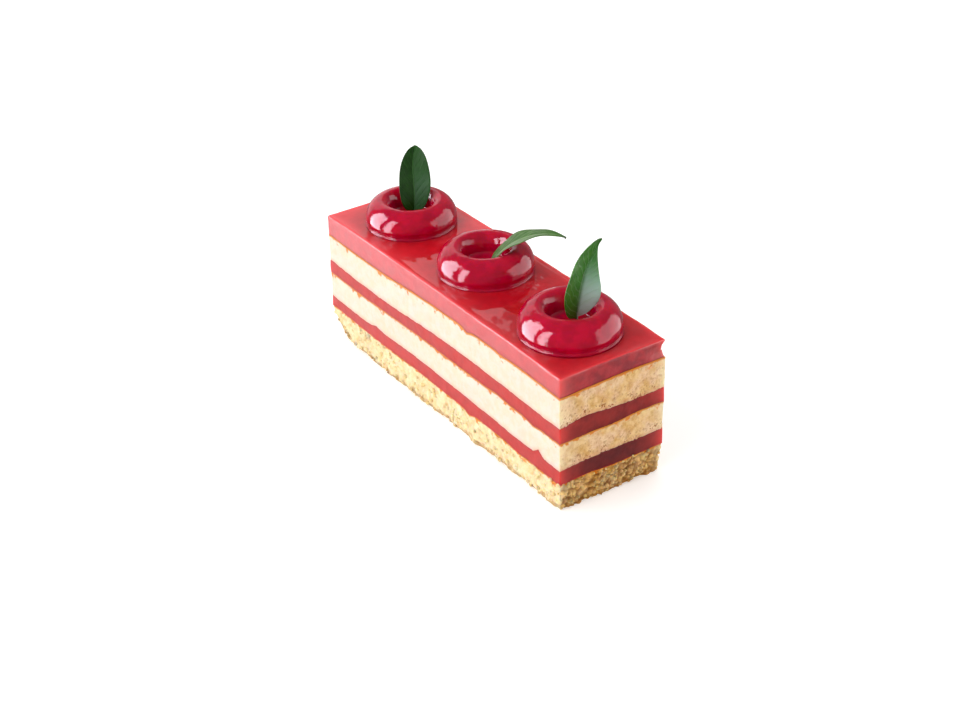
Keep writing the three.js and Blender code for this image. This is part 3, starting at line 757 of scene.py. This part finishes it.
def ribDirection(rib, share):
    a, b, c, d = (Vector(p) for p in rib)
    rest = 1 - share
    return ((b - a) * rest ** 2 + (c - b) * 2 * rest * share + (d - c) * share ** 2).normalized()


def bladeHalfWidth(margin, share):
    halfWidthOf, shoulder, taper = margin
    blade = (share - leafLook["stalkShare"]) / (1 - leafLook["stalkShare"])
    if blade <= 0:
        return leafLook["stalkHalfWidth"]
    widest = shoulder / (shoulder + taper)
    full = widest ** shoulder * (1 - widest) ** taper
    width = blade ** shoulder * max(0.0, 1 - blade) ** taper / full
    least = leafLook["stalkHalfWidth"] * (1 + (leafLook["tipShare"] - 1) * blade)
    return max(halfWidthOf * width, least)


def makeLeaf(name, material):
    look = leafLook[name]
    x, y = ringLook["places"][name][:2]
    across = Vector(look["across"]).normalized()
    bm = bmesh.new()
    bmesh.ops.create_grid(bm, x_segments=leafLook["columns"], y_segments=leafLook["rows"], size=1.0)
    uvLayer = bm.loops.layers.uv.new("blade")
    for face in bm.faces:
        for loop in face.loops:
            loop[uvLayer].uv = (loop.vert.co.x / 2 + 0.5, loop.vert.co.y / 2 + 0.5)
    for vertex in bm.verts:
        side = vertex.co.x
        share = (vertex.co.y + 1) / 2
        share = 1 - (1 - share) ** leafLook["crowding"]        # rows stand closer at the stalk
        along = ribDirection(look["rib"], share)
        sideways = (across - along * across.dot(along)).normalized()
        upper = sideways.cross(along)
        margin = look["leftMargin"] if side < 0 else look["rightMargin"]
        half = bladeHalfWidth(margin, share)
        fromRib = abs(side)
        wave = math.sin(share * look["waves"] * math.pi * 2 + (0 if side < 0 else leafLook["ripplePhase"]))
        lift = half * fromRib * math.sin(look["fold"])
        lift += look["ripple"] * wave * fromRib ** 2 * (half / margin[0])
        groove = math.exp(-(side * half / leafLook["ribReach"]) ** 2)
        lift -= leafLook["ribDepth"] * groove * (1 - share)
        veinWave = math.sin((share - fromRib * look["slant"] / 2) * look["veins"] * 2 * math.pi)
        lift += leafLook["veinDepth"] * veinWave * fromRib * (1 - fromRib) * 2
        reach = half * side * math.cos(look["fold"])
        vertex.co = ribPoint(look["rib"], share) + sideways * reach + upper * lift
    bm.normal_update()
    bmesh.ops.recalc_face_normals(bm, faces=bm.faces)
    bmesh.ops.solidify(bm, geom=bm.faces[:], thickness=leafLook["thickness"])
    bmesh.ops.translate(bm, verts=bm.verts, vec=Vector((x, y, ringLook["seat"])))
    bmesh.ops.scale(bm, verts=bm.verts, vec=(mm, mm, mm))
    return finishPiece("green_leaf_" + name, bm, material, ["leaf_" + name])


for leafName in ringLook["places"]:
    makeLeaf(leafName, leafMaterial("leafSkin_" + leafName, leafLook[leafName]))


# ---- floor, light and camera

studio = {
    "centre": Vector((0, 0, 0.04)),
    # azimuth and elevation in degrees, sizes in metres, radiance as a mirror would show it
    "windowLeft": {"azimuth": -133, "elevation": 12, "distance": 1.6, "width": 1.15, "height": 2.8,
                   "radiance": 11.5, "colour": (0.95, 0.87, 0.98), "lean": -6, "shows": "gloss"},
    "windowRight": {"azimuth": -92, "elevation": 7, "distance": 1.6, "width": 0.55, "height": 2.6,
                    "radiance": 11.5, "colour": (0.95, 0.87, 0.98), "lean": -8, "shows": "gloss"},
    "wallRight": {"azimuth": 58, "elevation": 6, "distance": 1.6, "width": 2.4, "height": 2.0,
                  "radiance": 2.6, "colour": (1.0, 0.93, 0.95), "lean": 0, "shows": "gloss"},
    "wallRear": {"azimuth": 170, "elevation": 16, "distance": 1.6, "width": 1.46, "height": 1.5,
                 "radiance": 0.8, "colour": (1.0, 0.88, 0.9), "lean": 0, "shows": "gloss"},
    "wallRearSoft": {"azimuth": 165, "elevation": 16, "distance": 1.6, "width": 1.3, "height": 1.5,
                     "radiance": 0.08, "colour": (1.0, 0.88, 0.9), "lean": 0, "shows": "gloss"},
    "softSide": {"azimuth": -100, "elevation": 32, "distance": 1.6, "width": 1.8, "height": 1.5,
                 "radiance": 2.5, "colour": (1.0, 0.99, 0.97), "lean": 0, "shows": "shade"},
    "softRight": {"azimuth": 30, "elevation": 25, "distance": 1.6, "width": 1.8, "height": 1.3,
                  "radiance": 1.0, "colour": (1.0, 0.98, 0.96), "lean": 0, "shows": "shade"},
    "softRear": {"azimuth": 140, "elevation": 25, "distance": 1.6, "width": 1.8, "height": 1.3,
                 "radiance": 1.7, "colour": (1.0, 0.98, 0.96), "lean": 0, "shows": "shade"},
    "softTop": {"azimuth": -60, "elevation": 78, "distance": 1.5, "width": 1.6, "height": 1.6,
                "radiance": 1.0, "colour": (1.0, 0.99, 0.98), "lean": 0, "shows": "shade"},
    "floorTone": 0.86,
    "floorGlow": 0.35,
    "ambient": 0.25,
}


def addPanel(name):
    look = studio[name]
    azimuth = math.radians(look["azimuth"])
    elevation = math.radians(look["elevation"])
    level = Vector((math.cos(azimuth), math.sin(azimuth), 0))
    if look["shows"] == "gloss":     # upright panels, mirrored by the glaze
        spot = studio["centre"] + (level + Vector((0, 0, math.tan(elevation)))) * look["distance"]
        facing = -level
    else:                            # soft boxes that face the cake
        facing = -(level * math.cos(elevation) + Vector((0, 0, math.sin(elevation))))
        spot = studio["centre"] - facing * look["distance"]
    data = bpy.data.lights.new(name, "AREA")
    data.shape = "RECTANGLE"
    data.size = look["width"]
    data.size_y = look["height"]
    data.color = look["colour"]
    data.energy = look["radiance"] * math.pi * look["width"] * look["height"]
    lamp = bpy.data.objects.new(name, data)
    bpy.context.scene.collection.objects.link(lamp)
    turn = facing.to_track_quat("-Z", "Y").to_matrix().to_4x4()
    lamp.matrix_world = Matrix.Translation(spot) @ turn @ Matrix.Rotation(math.radians(look["lean"]), 4, "Z")
    lamp.visible_camera = False
    lamp.visible_diffuse = look["shows"] == "shade"
    lamp.visible_glossy = look["shows"] == "gloss"


for panelName in [key for key in studio if isinstance(studio[key], dict)]:
    addPanel(panelName)
bpy.context.scene.view_settings.view_transform = "Standard"

world = bpy.data.worlds.new("room")
bpy.context.scene.world = world
world.use_nodes = True
background = world.node_tree.nodes["Background"]
background.inputs["Color"].default_value = (1, 1, 1, 1)
background.inputs["Strength"].default_value = studio["ambient"]

floorMaterial, _, floorShader = newMaterial("paleFloor")
floorShader.inputs["Base Color"].default_value = [studio["floorTone"]] * 3 + [1]
floorShader.inputs["Roughness"].default_value = 0.6
floorShader.inputs["Emission Color"].default_value = (1, 1, 1, 1)
floorShader.inputs["Emission Strength"].default_value = studio["floorGlow"]
floorMesh = bmesh.new()
bmesh.ops.create_grid(floorMesh, x_segments=1, y_segments=1, size=4.0)
floorData = bpy.data.meshes.new("floor")
floorMesh.to_mesh(floorData)
floorMesh.free()
floorData.materials.append(floorMaterial)
floor = bpy.data.objects.new("floor", floorData)
bpy.context.scene.collection.objects.link(floor)
floor.visible_glossy = False        # the glaze mirrors the room below the table edge instead

cameraLook = {
    "place": (0.413748, -0.273096, 0.310141),
    "right": (0.55957084, 0.82841004, -0.02484502),
    "up": (-0.41209631, 0.30412011, 0.85888741),
    "back": (0.71906683, -0.47036981, 0.51156147),
    "lens": 62.97,
}
cameraData = bpy.data.cameras.new("camera")
cameraData.sensor_width = 36
cameraData.lens = cameraLook["lens"]
cameraData.clip_start = 0.01
camera = bpy.data.objects.new("camera", cameraData)
bpy.context.scene.collection.objects.link(camera)
turned = Matrix((cameraLook["right"], cameraLook["up"], cameraLook["back"])).transposed().to_4x4()
camera.matrix_world = Matrix.Translation(cameraLook["place"]) @ turned
bpy.context.scene.camera = camera
print("stage, light and camera set")
